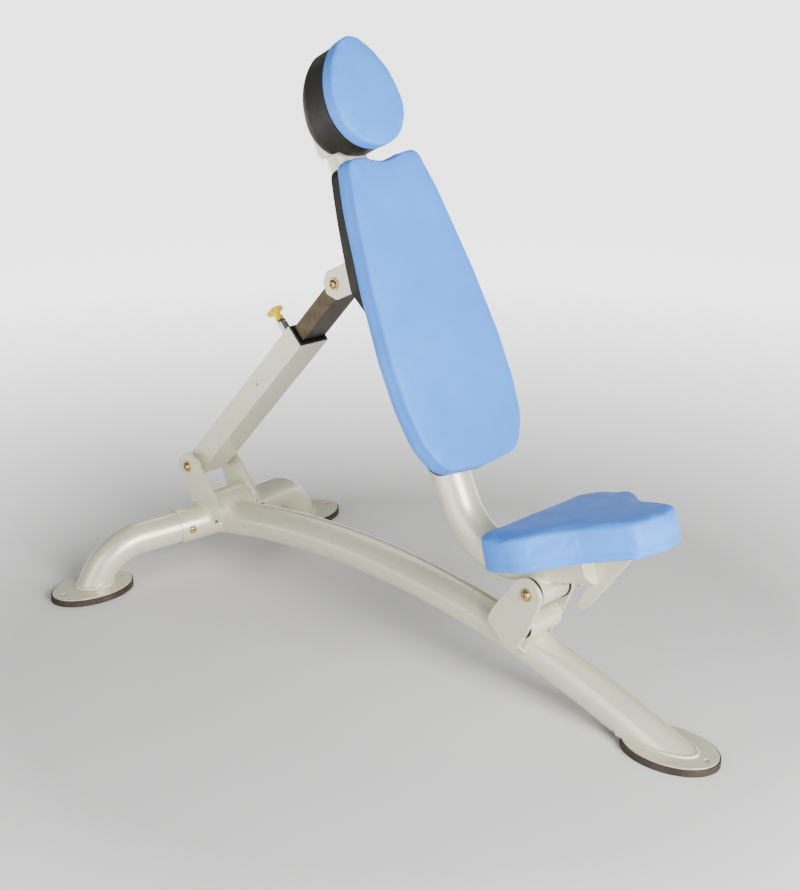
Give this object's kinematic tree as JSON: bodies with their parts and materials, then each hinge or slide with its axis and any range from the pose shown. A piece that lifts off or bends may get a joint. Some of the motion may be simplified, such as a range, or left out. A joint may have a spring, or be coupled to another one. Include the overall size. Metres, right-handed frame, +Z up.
{
  "type": "adjustable_weight_bench",
  "caption": "Adjustable weight bench: blue seat, back and head pads on a pivoting bent tube, held by a telescopic strut with a spring pin over an arched beam with oval bolt-down feet",
  "frame": {"origin": "on the floor, below the middle of the footprint", "axes": "+X from the rear feet to the front foot, +Y to the left foot, +Z up; the bench is symmetric about Y = 0"},
  "size_m": [1.4672, 0.8118, 1.1768],
  "materials": {
    "paint": "warm silver-beige gloss powder coat",
    "foot_rubber": "dark brown-black matt rubber",
    "zinc": "yellow zinc plated fasteners",
    "black_plastic": "black moulded plastic",
    "shell": "near-black brown textured backing",
    "vinyl": "mid-blue upholstery vinyl with fine grain",
    "plated_tube": "dark bronze-grey plated steel",
    "pin_steel": "bright turned steel",
    "yellow_knob": "glossy yellow plastic"
  },
  "bodies": {
    "base": {"main_beam": "paint", "leg_sleeve_left": "paint", "leg_sleeve_right": "paint", "rear_leg_left": "paint", "rear_leg_right": "paint", "foot_plate_left": "paint", "foot_plate_right": "paint", "foot_plate_front": "paint", "foot_rubber_left": "foot_rubber", "foot_rubber_right": "foot_rubber", "foot_rubber_front": "foot_rubber", "rear_cross_tube": "paint", "rear_ear_left": "paint", "rear_ear_right": "paint", "front_cross_tube": "paint", "front_ear_left": "paint", "front_ear_right": "paint", "rear_pivot_bolt": "zinc", "front_pivot_bolt": "zinc", "sleeve_bolts": "zinc", "pivot_washers": "zinc", "pivot_nuts": "zinc"},
    "back_frame": {"back_seat_tube": "paint", "pivot_barrel": "paint", "front_pivot_bushes": "black_plastic", "clevis_bracket": "paint", "clevis_bolt": "zinc", "clevis_washers": "zinc", "clevis_nut": "zinc", "clevis_spacers": "black_plastic", "back_board": "shell", "back_cushion": "vinyl", "seat_board": "shell", "seat_cushion": "vinyl", "seat_hook_plate": "paint", "seat_tube_cap": "paint", "back_tube_cap": "black_plastic", "pad_bolts": "zinc", "head_bracket_left": "paint", "head_bracket_right": "paint", "head_mount_plate": "paint", "head_bolts": "zinc", "head_spacer": "zinc", "head_shell": "shell", "head_cushion": "vinyl"},
    "strut_outer": {"strut_outer_tube": "paint", "strut_barrel": "paint", "strut_bushes": "black_plastic", "strut_liner": "black_plastic", "guide_screws": "zinc", "pin_housing": "pin_steel", "pin_spring": "pin_steel"},
    "strut_inner": {"strut_inner_tube": "plated_tube", "strut_inner_plug": "black_plastic"},
    "pull_pin": {"pull_pin_shaft": "pin_steel", "pull_knob": "yellow_knob"}
  },
  "joints": [
    {"name": "back_pivot", "type": "hinge", "parent": "base", "child": "back_frame", "pos_m": [0.341, 0, 0.227], "axis": [0, -1, 0], "range_deg": [-10, 8]},
    {"name": "strut_pivot", "type": "hinge", "parent": "base", "child": "strut_outer", "pos_m": [-0.641, 0, 0.232], "axis": [0, -1, 0], "range_deg": [-0.2, 0.2]},
    {"name": "strut_slide", "type": "slide", "parent": "strut_outer", "child": "strut_inner", "axis": [0.6953, 0, 0.7187], "range_m": [-0.0995, 0.124]},
    {"name": "pull_pin_slide", "type": "slide", "parent": "strut_outer", "child": "pull_pin", "axis": [-0.7187, 0, 0.6953], "range_m": [0, 0.01], "stiffness_N_per_m": 1000, "springref_m": -0.01}
  ],
  "couplings": [
    {"joint": "strut_slide", "follows": "back_pivot", "m_per_rad": -0.707},
    {"joint": "strut_pivot", "follows": "back_pivot", "ratio": 0.0175}
  ]
}
